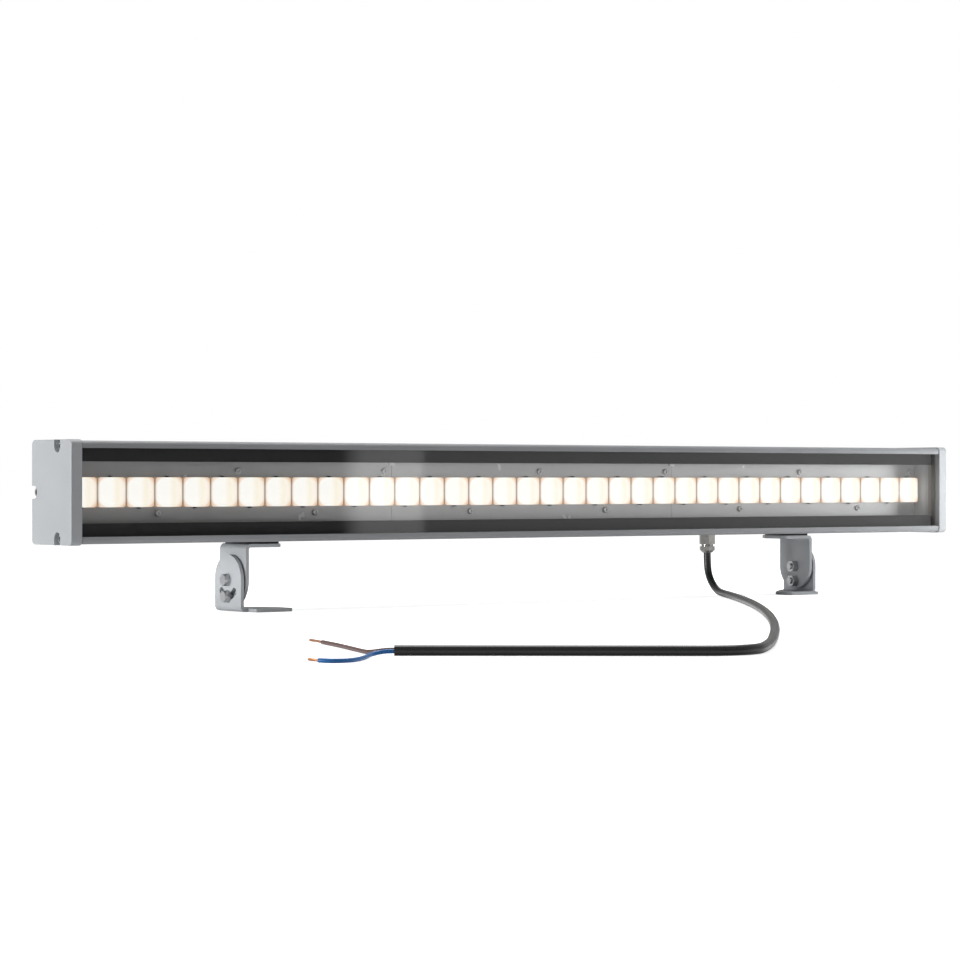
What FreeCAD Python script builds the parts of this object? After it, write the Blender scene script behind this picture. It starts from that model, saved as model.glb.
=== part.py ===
"""Outdoor wall washer: a row of 36 lensed LEDs behind glass in an extruded aluminium housing.

The housing stands on two tilting sheet-steel brackets. A two-core cable leaves a gland in its underside and
lies on the floor. X runs along the housing, -Y is the side that shines, and Z = 0 is the floor.
"""
import FreeCAD, Part
import math
import os

Vec = FreeCAD.Vector

# ---- overall sizes, mm
LENGTH = 1000.0            # over both end caps
CAP_DEPTH = 70.0
CAP_HEIGHT = 87.0
HOUSING_BASE = 60.0        # underside of the extrusion above the floor

# ---- end caps, their gaskets and screws
CAP_THICK = 10.0
CAP_PROUD_Z = 1.0          # the cap stands out past the extrusion, above and below
CAP_PROUD_Y = 0.5          # and in front and behind
CAP_CORNER = 4.5
CAP_EDGE = 0.8
END_GASKET = 1.0
END_GASKET_INSET = 0.3
CAP_SCREW_SETBACK = 24.5   # the two side screws, from the cap's front
CAP_SCREW_INSET_Z = 5.5    # from the cap's top or bottom
CAP_SCREW_INSET_Y = 4.4    # the rear screw, from the cap's back
CAP_SCREW_R = 2.0
CAP_SCREW_GRIP = 12.0      # length in the extrusion's screw port
CAP_HEAD_R = 4.0
CAP_HEAD_H = 2.8
NOTCH_WIDTH = 10.6
NOTCH_SINK = 5.0           # how deep the screw notches are cut into the cap's face
PORT_R = 4.0

# ---- fits
SCREW_FIT = 0.05           # radial room of a screw in its own hole
CLEAR_HOLE = 0.25          # radial room of a screw in a clearance hole
PIVOT_FIT = 0.08           # radial room of the tilt bolts in the plate that turns
SLIDE_GAP = 0.1            # room beside a face that turns
END_PLAY = 0.3             # what is left at each end of the glass and its seals

# ---- extrusion section
WALL = 3.0                 # top and bottom
REAR_WALL = 2.5
LIP_THICK = 5.5            # front lips that the glass bears on
LIP_TALL = 6.0
GLASS_THICK = 4.0
SEAL_THICK = 2.2
SEAL_SHOWS = 11.0          # black band seen between lip and window
LEDGE_THICK = 3.0          # ledge behind each seal
GLASS_EDGE_ROOM = 0.5
WEB_SETBACK = 34.6         # front face of the web, from the front of the lips
WEB_THICK = 3.0
TSLOT_MOUTH = 6.5
TSLOT_WIDTH = 11.0
TSLOT_LIP = 2.5
TSLOT_DEEP = 5.5
TSLOT_WALL = 2.5

# ---- LED boards, chips and lenses
BOARD_COUNT = 3
LEDS_PER_BOARD = 12
ROW_END_ROOM = 1.2
BOARD_GAP = 0.4
BOARD_THICK = 1.6
BOARD_EDGE_ROOM = 5.0      # from the top of the T-slot to the board's edge
LENS_GAP = 1.6
LENS_HEIGHT = 25.0
LENS_BODY = 5.5
LENS_DOME = 1.5
LENS_DOME_R = 9.8
LENS_CORNER = 2.5
LENS_POCKET_R = 4.5
LENS_POCKET = 2.5
CHIP_SIDE = 5.0
CHIP_THICK = 0.7
BOARD_SCREW_OUT = 18.0     # screw line above or below the middle of the board
BOARD_SCREW_R = 1.5
BOARD_HEAD_R = 2.75
BOARD_HEAD_H = 1.8
BOARD_SCREW_GRIP = 2.6
BOARD_SCREWS = ((3.2, -1), (6.1, 1), (9.0, -1), (11.7, 1))    # pitches from the board's end, and side
LINK_LENGTH = 6.0
LINK_HEIGHT = 2.4
LINK_THICK = 0.8
LINK_INSET = 2.5           # middle of a link below the board's top edge

# ---- driver, behind the web
DRIVER_X = -140.0
DRIVER_LENGTH = 260.0
DRIVER_HEIGHT = 50.0
DRIVER_AIR = 1.2           # from the lid to the rear screw port
TRAY_WALL = 1.5
TRAY_FLOOR = 2.0
LID_THICK = 1.5
EAR_LENGTH = 14.0
DRIVER_SCREW_R = 1.5
DRIVER_HEAD_R = 2.9
DRIVER_HEAD_H = 2.0
PCB_THICK = 1.6
PCB_STANDOFF = 3.0
STANDOFF_R = 3.0
PCB_SIDE_ROOM = 2.0
PART_TOP_ROOM = 0.5        # over the tallest component

# ---- terminal block and inside wiring
BLOCK_X = 135.0
BLOCK_LENGTH = 30.0
BLOCK_HEIGHT = 21.0
BLOCK_DEPTH = 16.0
BLOCK_SEAT = 4.0           # plastic under the head of its screw
BLOCK_SCREW_R = 1.5
BLOCK_HEAD_R = 2.75
BLOCK_HEAD_H = 1.8
WIRE_PITCH = 4.0           # half the spacing of the wires at the block
WIRE_R = 1.2
LED_WIRE_ROOM = 26.0       # from the driver's ear to the wires' hole in the web
LED_WIRE_PITCH = 2.5
WEB_HOLE_R = 5.0
CABLE_R = 3.5
CABLE_INSIDE_TOP = 74.0

# ---- cable gland
GLAND_X = 224.0
GLAND_Y = 17.5
GLAND_THREAD_R = 6.0
GLAND_AF = 14.0
GLAND_WASHER = 1.0
GLAND_WASHER_R = 8.0
GLAND_HEX_BOTTOM = 50.0
GLAND_NECK_R = 5.6
GLAND_NECK_BOTTOM = 45.0
GLAND_MOUTH_R = 4.95
GLAND_BORE_R = 4.0
GLAND_TOP = 70.0
GLAND_NUT_AF = 13.5
GLAND_NUT_TOP = 47.8
GLAND_NUT_SHOULDER = 43.8
GLAND_NUT_BOTTOM = 41.7
GLAND_NUT_MOUTH_R = 4.4
LOCKNUT_H = 4.0
SEAL_FIT = 0.05

# ---- brackets: 3 mm sheet, given for the right-hand one
SHEET = 3.0
BEND = 1.5                 # inner bend radius
BRACKET_W = 43.5
PLATE_OUT = 331.3          # outer face of the lower bracket's upright, from the middle of the housing
PLATE_GAP = 2.0            # between the two uprights, filled by spacer washers
FLANGE_LENGTH = 37.3
FLANGE_CORNER = 6.0
FLANGE_CUT_X = 11.0        # the flange's inner rear corner is cut off
FLANGE_CUT_Y = 15.75
PAD_THICK = 2.0
PAD_INSET = 1.5
PIVOT_Z = 27.0
BOLT_R = 3.0
BOLT_AF = 10.0
BOLT_HEAD_H = 4.0
BOLT_END = 2.0             # thread past the nut
NUT_H = 5.0
WASHER_R = 5.5
WASHER_T = 1.2
WASHER_BORE_R = 3.2
LOCK_RADIUS = 14.3         # lock bolt below the pivot
LOCK_SLOT_W = 6.6
TILT_LIMIT = 45.0
SLOT_OVERRUN = 2.0         # degrees of slot past the limit
FOOT_NECK = 7.3
FOOT_REACH = 44.3          # toe, inwards from the upright's outer face
FOOT_TOE_Y = -34.5
FOOT_HEEL_Y = -12.0        # where the inner edge starts to cut back
FOOT_CORNER = 2.0
FOOT_SLOT_X = 306.0
FOOT_SLOT_Y = -16.0
FOOT_SLOT_LENGTH = 14.0
FOOT_SLOT_WIDTH = 7.0
CSK_R = 6.0                # countersunk head of the screw through the flange
SLOT_NUT_LENGTH = 20.0
SLOT_NUT_HEIGHT = 4.8
SLOT_NUT_ROOM = 0.2
FLANGE_SCREW_END = 66.0

# ---- free cable and its two cores, laid on the floor
CORE_R = 1.45
COPPER_R = 0.95
ARC_SHARE = 0.45           # share of the shorter run that an arc takes
CABLE_ROUTE = [
    (224, 17.5, 41.7), (224, 17.5, 31), (223.6, 15.2, 20.5), (222.6, 8.5, 11.5), (219, -3.5, 5),
    (209, -23, 3.5), (184, -63, 3.5), (137, -132, 3.5), (78, -215, 3.5), (17, -295, 3.5),
    (-47, -375, 3.5), (-114, -455, 3.5), (-184, -535, 3.5), (-252, -609, 3.5), (-305, -665, 3.5),
    (-337, -695.5, 3.5), (-353.5, -710, 3.5), (-363.5, -715.5, 3.5), (-375, -718, 3.5), (-386.5, -717, 3.5),
    (-397.5, -713, 3.5), (-415, -699.5, 3.5), (-450, -673.5, 3.5), (-505, -632, 3.5), (-560.8, -590.7, 3.5),
]
BROWN_ROUTE = [
    (-559.91, -589.48, 3.9), (-563.51, -586.82, 3.9), (-566.5, -582.5, 3.2), (-567.5, -576.5, 2.3),
    (-566, -567, 1.5), (-561, -553, 1.45), (-554, -533, 1.45), (-543.5, -504, 1.45), (-534, -475, 1.45),
    (-528, -455, 1.45),
]
BROWN_COPPER = [(-528, -455, 1.45), (-524.1, -442, 1.45), (-521.5, -429, 1.45)]
BLUE_ROUTE = [
    (-561.7, -591.9, 3.1), (-565.7, -588.94, 3.1), (-571.2, -587.9, 2.4), (-577.5, -590, 1.7),
    (-585, -597, 1.45), (-594, -608, 1.45), (-606, -620, 1.45), (-615, -627, 1.45), (-622, -630, 1.45),
    (-629, -629.7, 1.45), (-634.4, -625.1, 1.45), (-635.7, -618.1, 1.45),
]
BLUE_COPPER = [(-635.7, -618.1, 1.45), (-636.61, -613.2, 1.45), (-635.5, -606, 1.45)]

# ---- worked out from the sizes above
EXTRUSION_LENGTH = LENGTH - 2 * (CAP_THICK + END_GASKET)
EXTRUSION_DEPTH = CAP_DEPTH - 2 * CAP_PROUD_Y
EXTRUSION_HEIGHT = CAP_HEIGHT - 2 * CAP_PROUD_Z
X_END = EXTRUSION_LENGTH / 2
Y_FRONT = -EXTRUSION_DEPTH / 2
Y_BACK = EXTRUSION_DEPTH / 2
Z_TOP = HOUSING_BASE + EXTRUSION_HEIGHT
Z_MID = HOUSING_BASE + EXTRUSION_HEIGHT / 2
INNER = EXTRUSION_HEIGHT / 2 - WALL                 # half height inside the walls
LIP_BACK = Y_FRONT + LIP_THICK
GLASS_BACK = LIP_BACK + GLASS_THICK
SEAL_BACK = GLASS_BACK + SEAL_THICK
LEDGE_BACK = SEAL_BACK + LEDGE_THICK
LIP_EDGE = EXTRUSION_HEIGHT / 2 - LIP_TALL          # half height between the lips
WINDOW = LIP_EDGE - SEAL_SHOWS                      # half height of the clear window
GLASS_HALF = INNER - GLASS_EDGE_ROOM
WEB_FRONT = Y_FRONT + WEB_SETBACK
WEB_BACK = WEB_FRONT + WEB_THICK
CHAMBER_BACK = Y_BACK - REAR_WALL
CHAMBER_Y = (WEB_BACK + CHAMBER_BACK) / 2
LED_WIRE_X = DRIVER_X - DRIVER_LENGTH / 2 - EAR_LENGTH - LED_WIRE_ROOM
TSLOT_TOP = HOUSING_BASE + TSLOT_LIP + TSLOT_DEEP
LED_PITCH = (EXTRUSION_LENGTH - 2 * ROW_END_ROOM) / (BOARD_COUNT * LEDS_PER_BOARD)
BOARD_FACE = WEB_FRONT - BOARD_THICK
BOARD_HALF = Z_MID - TSLOT_TOP - TSLOT_WALL - BOARD_EDGE_ROOM
CAP_SCREW_Y = -CAP_DEPTH / 2 + CAP_SCREW_SETBACK
CAP_SCREW_DZ = CAP_HEIGHT / 2 - CAP_SCREW_INSET_Z
CAP_SCREW_BACK = CAP_DEPTH / 2 - CAP_SCREW_INSET_Y
CAP_SCREWS = ((CAP_SCREW_Y, CAP_SCREW_DZ), (CAP_SCREW_Y, -CAP_SCREW_DZ), (CAP_SCREW_BACK, 0.0))
LID_BACK = CAP_SCREW_BACK - PORT_R - DRIVER_AIR
LID_FRONT = LID_BACK - LID_THICK
FLANGE_TOP = HOUSING_BASE - PAD_THICK
UPPER_OUT = PLATE_OUT - SHEET - PLATE_GAP           # outer face of the upper bracket's upright
UPPER_IN = UPPER_OUT - SHEET
FLANGE_END = UPPER_OUT - FLANGE_LENGTH
FLANGE_SCREW_X = (FLANGE_END + UPPER_IN) / 2
LOCK_Z = PIVOT_Z - LOCK_RADIUS


def block(low, high):
    """Box between two corners."""
    size = Vec(*high) - Vec(*low)
    return Part.makeBox(size.x, size.y, size.z, Vec(*low))


def rod(radius, start, end):
    """Round bar between two points."""
    along = Vec(*end) - Vec(*start)
    return Part.makeCylinder(radius, along.Length, Vec(*start), along)


def tube(outer, inner, start, end):
    return rod(outer, start, end).cut(rod(inner, start, end))


def hex_bar(flats, start, end):
    """Hexagonal bar along X or Z, with two of its flats facing Z or Y."""
    start = Vec(*start)
    along = Vec(*end) - start
    across = Vec(0, 1, 0) if abs(along.x) > abs(along.z) else Vec(1, 0, 0)
    up = Vec(0, 0, 1) if abs(along.x) > abs(along.z) else Vec(0, 1, 0)
    corner = flats / 2 / math.cos(math.pi / 6)
    ring = []
    for step in range(7):
        angle = step * math.pi / 3
        ring.append(start + across * (corner * math.cos(angle)) + up * (corner * math.sin(angle)))
    return Part.Face(Part.makePolygon(ring)).extrude(along)


def mirrored(shape):
    """The same piece at the other end of the housing."""
    return shape.mirror(Vec(0, 0, 0), Vec(1, 0, 0))


def both_sides(shapes):
    return shapes + [mirrored(shape) for shape in shapes]


def straight_edges(shape, along, **place):
    """Straight edges that run along an axis through a place given by its other coordinates."""
    found = []
    for edge in shape.Edges:
        if not isinstance(edge.Curve, (Part.Line, Part.LineSegment)):
            continue
        span = edge.Vertexes[-1].Point - edge.Vertexes[0].Point
        if abs(abs(span.dot(along)) - span.Length) > 1e-6:
            continue
        middle = (edge.Vertexes[-1].Point + edge.Vertexes[0].Point) / 2
        if all(abs(getattr(middle, axis) - value) < 1e-3 for axis, value in place.items()):
            found.append(edge)
    return found


def fillet(shape, radius, along, **place):
    return shape.makeFillet(radius, straight_edges(shape, along, **place))


def rounded_bar(x_low, x_high, half_y, z_low, z_high, corner):
    """Bar along X with its four long edges rounded."""
    bar = block((x_low, -half_y, z_low), (x_high, half_y, z_high))
    edges = []
    for y in (-half_y, half_y):
        for z in (z_low, z_high):
            edges += straight_edges(bar, Vec(1, 0, 0), y=y, z=z)
    return bar.makeFillet(corner, edges)


def save(name, *solids):
    """Write one node; like pieces share it as a group of separate solids."""
    shape = solids[0] if len(solids) == 1 else Part.makeCompound(list(solids))
    shape.exportStep("parts/%s.step" % name)


# ------------------------------------------------------------------ housing

def screw_ports(x_low, x_high, radius):
    """Round bars on the axes of the three end-cap screws."""
    return [rod(radius, (x_low, y, Z_MID + dz), (x_high, y, Z_MID + dz)) for y, dz in CAP_SCREWS]


def extrusion_outline(x_low, x_high, inset):
    corner = CAP_CORNER - CAP_PROUD_Z
    return rounded_bar(x_low, x_high, Y_BACK - inset, HOUSING_BASE + inset, Z_TOP - inset, corner)


def hollow(x_low, x_high, y_low, y_high, half):
    """Space in the section, centred on the row of lenses."""
    return block((x_low, y_low, Z_MID - half), (x_high, y_high, Z_MID + half))


def housing_extrusion():
    ends = (-X_END, X_END)
    outline = extrusion_outline(*ends, 0.0)
    body = outline.cut(hollow(*ends, Y_FRONT - 1, LIP_BACK, LIP_EDGE))
    body = body.cut(hollow(*ends, LIP_BACK, SEAL_BACK, INNER))
    body = body.cut(hollow(*ends, SEAL_BACK, LEDGE_BACK, WINDOW))
    body = body.cut(hollow(*ends, LEDGE_BACK, WEB_FRONT, INNER))
    body = body.cut(hollow(*ends, WEB_BACK, CHAMBER_BACK, INNER))
    slot_half = TSLOT_WIDTH / 2
    channel = block(
        (-X_END, -slot_half - TSLOT_WALL, HOUSING_BASE), (X_END, slot_half + TSLOT_WALL, TSLOT_TOP + TSLOT_WALL)
    )
    body = body.fuse([channel] + [port.common(outline) for port in screw_ports(*ends, PORT_R)])
    mouth = TSLOT_MOUTH / 2
    inner_floor = HOUSING_BASE + TSLOT_LIP
    cuts = screw_ports(*ends, CAP_SCREW_R + SCREW_FIT)
    cuts.append(block((-X_END, -mouth, HOUSING_BASE - 1), (X_END, mouth, inner_floor)))
    cuts.append(block((-X_END, -slot_half, inner_floor), (X_END, slot_half, TSLOT_TOP)))
    gland = (GLAND_X, GLAND_Y)
    cuts.append(rod(GLAND_THREAD_R + SCREW_FIT, (*gland, HOUSING_BASE - 1), (*gland, HOUSING_BASE + WALL + 1)))
    through = (WEB_FRONT - 1, WEB_BACK + 1)
    for x, z in board_screw_places():
        cuts.append(rod(BOARD_SCREW_R + SCREW_FIT, (x, through[0], z), (x, through[1], z)))
    for x in driver_screw_places():
        cuts.append(rod(DRIVER_SCREW_R + SCREW_FIT, (x, through[0], Z_MID), (x, through[1], Z_MID)))
    cuts.append(rod(BLOCK_SCREW_R + SCREW_FIT, (BLOCK_X, through[0], Z_MID), (BLOCK_X, through[1], Z_MID)))
    cuts.append(rod(WEB_HOLE_R, (LED_WIRE_X, through[0], Z_MID), (LED_WIRE_X, through[1], Z_MID)))
    return body.cut(cuts).removeSplitter()


def end_cap():
    """Right-hand end cap, with three screw notches open to its edges."""
    x_in = X_END + END_GASKET
    x_out = LENGTH / 2
    bar = rounded_bar(
        x_in, x_out, CAP_DEPTH / 2, Z_MID - CAP_HEIGHT / 2, Z_MID + CAP_HEIGHT / 2, CAP_CORNER
    )
    rim = [edge for edge in bar.Edges if all(abs(v.Point.x - x_out) < 1e-6 for v in edge.Vertexes)]
    bar = bar.makeFillet(CAP_EDGE, rim)
    half = NOTCH_WIDTH / 2
    floor = x_out - NOTCH_SINK
    cuts = []
    for y, dz in CAP_SCREWS:
        z = Z_MID + dz
        cuts.append(rod(half, (floor, y, z), (x_out + 1, y, z)))
        if dz == 0:
            cuts.append(block((floor, y, z - half), (x_out + 1, CAP_DEPTH, z + half)))
        else:
            z_edge = Z_MID + math.copysign(CAP_HEIGHT, dz)
            cuts.append(block((floor, y - half, min(z, z_edge)), (x_out + 1, y + half, max(z, z_edge))))
    cuts += screw_ports(x_in - 1, x_out, CAP_SCREW_R + CLEAR_HOLE)
    return bar.cut(cuts)


def end_gasket():
    """Right-hand gasket: the section's outline, open at the window and at the chambers."""
    ends = (X_END, X_END + END_GASKET)
    outline = extrusion_outline(*ends, END_GASKET_INSET)
    sheet = outline.cut([
        hollow(*ends, Y_FRONT - 1, LIP_BACK, LIP_EDGE),
        hollow(*ends, LEDGE_BACK, CHAMBER_BACK, INNER),
    ])
    sheet = sheet.fuse([port.common(outline) for port in screw_ports(*ends, PORT_R)])
    return sheet.cut(screw_ports(*ends, CAP_SCREW_R + CLEAR_HOLE)).removeSplitter()


def pan_screw(head_r, head_h, shank_r, seat, tip):
    """Pan-head screw: its head stands on the seat, away from the tip."""
    seat = Vec(*seat)
    out = (seat - Vec(*tip)).normalize()
    head = Part.makeCylinder(head_r, head_h, seat, out)
    top = [edge for edge in head.Edges if edge.Closed and (edge.CenterOfMass - seat).Length > head_h / 2]
    head = head.makeFillet(head_h * 0.4, top)
    recess_w = head_r * 0.22
    recess = Part.makeCylinder(recess_w * 2, head_h, seat + out * (head_h * 0.45), out)
    return head.cut(recess).fuse(rod(shank_r, tip, tuple(seat))).removeSplitter()


def cap_screws():
    seat = LENGTH / 2 - NOTCH_SINK
    tip = X_END - CAP_SCREW_GRIP
    screws = []
    for y, dz in CAP_SCREWS:
        z = Z_MID + dz
        screws.append(pan_screw(CAP_HEAD_R, CAP_HEAD_H, CAP_SCREW_R, (seat, y, z), (tip, y, z)))
    return both_sides(screws)


def front_glass():
    reach = X_END - END_PLAY
    return hollow(-reach, reach, LIP_BACK, GLASS_BACK, GLASS_HALF)


def glass_seal(side):
    reach = X_END - END_PLAY
    low, high = sorted((Z_MID + side * WINDOW, Z_MID + side * GLASS_HALF))
    return block((-reach, GLASS_BACK, low), (reach, SEAL_BACK, high))


# ------------------------------------------------------------------ LEDs

def board_left(board):
    return -X_END + ROW_END_ROOM + board * LEDS_PER_BOARD * LED_PITCH


def board_screw_places():
    places = []
    for board in range(BOARD_COUNT):
        for pitches, side in BOARD_SCREWS:
            places.append((board_left(board) + pitches * LED_PITCH, Z_MID + side * BOARD_SCREW_OUT))
    return places


def led_centres(board):
    return [board_left(board) + (index + 0.5) * LED_PITCH for index in range(LEDS_PER_BOARD)]


def led_board(board):
    left = board_left(board) + BOARD_GAP / 2
    right = board_left(board + 1) - BOARD_GAP / 2
    plate = hollow(left, right, BOARD_FACE, WEB_FRONT, BOARD_HALF)
    holes = []
    for x, z in board_screw_places():
        if left < x < right:
            holes.append(rod(BOARD_SCREW_R + CLEAR_HOLE, (x, BOARD_FACE - 1, z), (x, WEB_FRONT + 1, z)))
    return plate.cut(holes)


def led_chip(x):
    half = CHIP_SIDE / 2
    return block((x - half, BOARD_FACE - CHIP_THICK, Z_MID - half), (x + half, BOARD_FACE, Z_MID + half))


def lens(x):
    """One lens: a square holder on the board, a round lens on its front and a pocket over the chip."""
    half_w = (LED_PITCH - LENS_GAP) / 2
    half_h = LENS_HEIGHT / 2
    front = BOARD_FACE - LENS_BODY
    body = block((x - half_w, front, Z_MID - half_h), (x + half_w, BOARD_FACE, Z_MID + half_h))
    body = body.makeFillet(LENS_CORNER, straight_edges(body, Vec(0, 1, 0)))
    dome = rod(LENS_DOME_R, (x, front - LENS_DOME, Z_MID), (x, front, Z_MID))
    pocket = rod(LENS_POCKET_R, (x, BOARD_FACE - LENS_POCKET, Z_MID), (x, BOARD_FACE, Z_MID))
    return body.fuse(dome).cut(pocket)


def board_screws():
    tip = WEB_FRONT + BOARD_SCREW_GRIP
    screws = []
    for x, z in board_screw_places():
        screws.append(pan_screw(BOARD_HEAD_R, BOARD_HEAD_H, BOARD_SCREW_R, (x, BOARD_FACE, z), (x, tip, z)))
    return screws


def board_links():
    """Solder bridges across the joints between the boards."""
    z = Z_MID + BOARD_HALF - LINK_INSET
    links = []
    for board in range(1, BOARD_COUNT):
        x = board_left(board)
        low = (x - LINK_LENGTH / 2, BOARD_FACE - LINK_THICK, z - LINK_HEIGHT / 2)
        high = (x + LINK_LENGTH / 2, BOARD_FACE, z + LINK_HEIGHT / 2)
        links.append(block(low, high))
    return links


# ------------------------------------------------------------------ driver and wiring

def driver_screw_places():
    reach = DRIVER_LENGTH / 2 + EAR_LENGTH / 2
    return (DRIVER_X - reach, DRIVER_X + reach)


def driver_box(inset, y_low, y_high):
    half_x = DRIVER_LENGTH / 2 - inset
    half_z = DRIVER_HEIGHT / 2 - inset
    return block((DRIVER_X - half_x, y_low, Z_MID - half_z), (DRIVER_X + half_x, y_high, Z_MID + half_z))


def pcb_posts():
    reach_x = DRIVER_LENGTH / 2 - TRAY_WALL - 10
    reach_z = DRIVER_HEIGHT / 2 - TRAY_WALL - 7
    return [(DRIVER_X + sx * reach_x, Z_MID + sz * reach_z) for sx in (-1, 1) for sz in (-1, 1)]


def driver_tray():
    """Open tray with a fixing ear at each end and four posts for its circuit board."""
    floor = WEB_BACK + TRAY_FLOOR
    tray = driver_box(0.0, WEB_BACK, LID_FRONT).cut(driver_box(TRAY_WALL, floor, LID_FRONT))
    reach = DRIVER_LENGTH / 2 + EAR_LENGTH
    ears = block(
        (DRIVER_X - reach, WEB_BACK, Z_MID - EAR_LENGTH), (DRIVER_X + reach, floor, Z_MID + EAR_LENGTH)
    )
    posts = [rod(STANDOFF_R, (x, floor - 0.5, z), (x, floor + PCB_STANDOFF, z)) for x, z in pcb_posts()]
    holes = []
    for x in driver_screw_places():
        holes.append(rod(DRIVER_SCREW_R + CLEAR_HOLE, (x, WEB_BACK - 1, Z_MID), (x, floor + 1, Z_MID)))
    return tray.fuse([ears] + posts).cut(holes).removeSplitter()


def pcb_face():
    return WEB_BACK + TRAY_FLOOR + PCB_STANDOFF + PCB_THICK


def driver_board():
    return driver_box(TRAY_WALL + PCB_SIDE_ROOM, pcb_face() - PCB_THICK, pcb_face())


def driver_components():
    """Transformer, choke, two capacitors and the input and output headers."""
    top = LID_FRONT - PART_TOP_ROOM
    face = pcb_face()
    pieces = [block((DRIVER_X - 20, face, Z_MID - 15), (DRIVER_X + 20, top, Z_MID + 15))]
    pieces.append(block((DRIVER_X + 42, face, Z_MID - 10), (DRIVER_X + 62, (face + top) / 2, Z_MID + 10)))
    for x in (DRIVER_X - 62, DRIVER_X - 42):
        pieces.append(rod(7.0, (x, face, Z_MID), (x, top, Z_MID)))
    for x in (DRIVER_X - 108, DRIVER_X + 96):
        pieces.append(block((x, face, Z_MID - 8), (x + 12, (face + top) / 2, Z_MID + 8)))
    return pieces


def driver_lid():
    return driver_box(0.0, LID_FRONT, LID_BACK)


def driver_screws():
    seat = WEB_BACK + TRAY_FLOOR
    tip = WEB_BACK - BOARD_SCREW_GRIP
    screws = []
    for x in driver_screw_places():
        ends = ((x, seat, Z_MID), (x, tip, Z_MID))
        screws.append(pan_screw(DRIVER_HEAD_R, DRIVER_HEAD_H, DRIVER_SCREW_R, *ends))
    return screws


def terminal_block():
    half_x = BLOCK_LENGTH / 2
    half_z = BLOCK_HEIGHT / 2
    back = WEB_BACK + BLOCK_DEPTH
    body = block((BLOCK_X - half_x, WEB_BACK, Z_MID - half_z), (BLOCK_X + half_x, back, Z_MID + half_z))
    wells = [
        rod(BLOCK_SCREW_R + CLEAR_HOLE, (BLOCK_X, WEB_BACK, Z_MID), (BLOCK_X, back, Z_MID)),
        rod(BLOCK_HEAD_R + CLEAR_HOLE, (BLOCK_X, WEB_BACK + BLOCK_SEAT, Z_MID), (BLOCK_X, back, Z_MID)),
    ]
    for x in (BLOCK_X - 9, BLOCK_X + 9):
        for side in (-1, 1):
            z = Z_MID + side * WIRE_PITCH
            wells.append(rod(2.0, (x, CHAMBER_Y + WIRE_R, z), (x, back + 1, z)))
    return body.cut(wells)


def terminal_screw():
    seat = (BLOCK_X, WEB_BACK + BLOCK_SEAT, Z_MID)
    tip = (BLOCK_X, WEB_BACK - BOARD_SCREW_GRIP, Z_MID)
    return pan_screw(BLOCK_HEAD_R, BLOCK_HEAD_H, BLOCK_SCREW_R, seat, tip)


def supply_cores():
    """The cable's two cores, from the end of its sheath to the terminal block."""
    cores = []
    block_end = BLOCK_X + BLOCK_LENGTH / 2
    for side in (-1, 1):
        x = GLAND_X + side * 1.6
        z = Z_MID + side * WIRE_PITCH
        route = [
            (x, GLAND_Y, CABLE_INSIDE_TOP), (x, GLAND_Y, CABLE_INSIDE_TOP + 10),
            (x - 4, CHAMBER_Y, z - 9), (x - 14, CHAMBER_Y, z - 2),
            (x - 32, CHAMBER_Y, z), (block_end, CHAMBER_Y, z),
        ]
        cores.append(soft_tube(route, WIRE_R))
    return cores


def driver_feed_wires():
    wires = []
    start = BLOCK_X - BLOCK_LENGTH / 2
    end = DRIVER_X + DRIVER_LENGTH / 2
    for side in (-1, 1):
        z = Z_MID + side * WIRE_PITCH
        route = [
            (start, CHAMBER_Y, z), (start - 30, CHAMBER_Y, z), (start - 62, CHAMBER_Y, z - 5),
            (end + 38, CHAMBER_Y, z - 5), (end + 20, CHAMBER_Y, z), (end, CHAMBER_Y, z),
        ]
        wires.append(soft_tube(route, WIRE_R))
    return wires


def led_wires():
    """From the driver, through the web, to the back of the first board."""
    wires = []
    start = DRIVER_X - DRIVER_LENGTH / 2
    for side in (-1, 1):
        z = Z_MID + side * LED_WIRE_PITCH
        route = [(start, CHAMBER_Y, z), (LED_WIRE_X, CHAMBER_Y, z), (LED_WIRE_X, WEB_FRONT, z)]
        wires.append(soft_tube(route, WIRE_R))
    return wires


# ------------------------------------------------------------------ cable gland

def on_gland(z):
    return (GLAND_X, GLAND_Y, z)


def gland_body():
    seat = HOUSING_BASE - GLAND_WASHER
    body = hex_bar(GLAND_AF, on_gland(GLAND_HEX_BOTTOM), on_gland(seat))
    body = body.fuse([
        rod(GLAND_THREAD_R, on_gland(seat), on_gland(GLAND_TOP)),
        rod(GLAND_NECK_R, on_gland(GLAND_NECK_BOTTOM), on_gland(GLAND_HEX_BOTTOM)),
    ])
    return body.cut([
        rod(GLAND_BORE_R, on_gland(GLAND_NECK_BOTTOM), on_gland(GLAND_TOP)),
        rod(GLAND_MOUTH_R, on_gland(GLAND_NECK_BOTTOM), on_gland(GLAND_HEX_BOTTOM)),
    ]).removeSplitter()


def gland_nut():
    """Hexagonal nut with a domed end that the cable comes out of."""
    flat = hex_bar(GLAND_NUT_AF, on_gland(GLAND_NUT_SHOULDER), on_gland(GLAND_NUT_TOP))
    wide = GLAND_NUT_AF / 2
    dome = Part.makeCone(
        wide * 0.74, wide, GLAND_NUT_SHOULDER - GLAND_NUT_BOTTOM, Vec(*on_gland(GLAND_NUT_BOTTOM)), Vec(0, 0, 1)
    )
    return flat.fuse(dome).cut([
        rod(GLAND_NUT_MOUTH_R, on_gland(GLAND_NUT_BOTTOM - 1), on_gland(GLAND_NECK_BOTTOM)),
        rod(GLAND_NECK_R + SCREW_FIT, on_gland(GLAND_NECK_BOTTOM), on_gland(GLAND_NUT_TOP + 1)),
    ]).removeSplitter()


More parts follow.
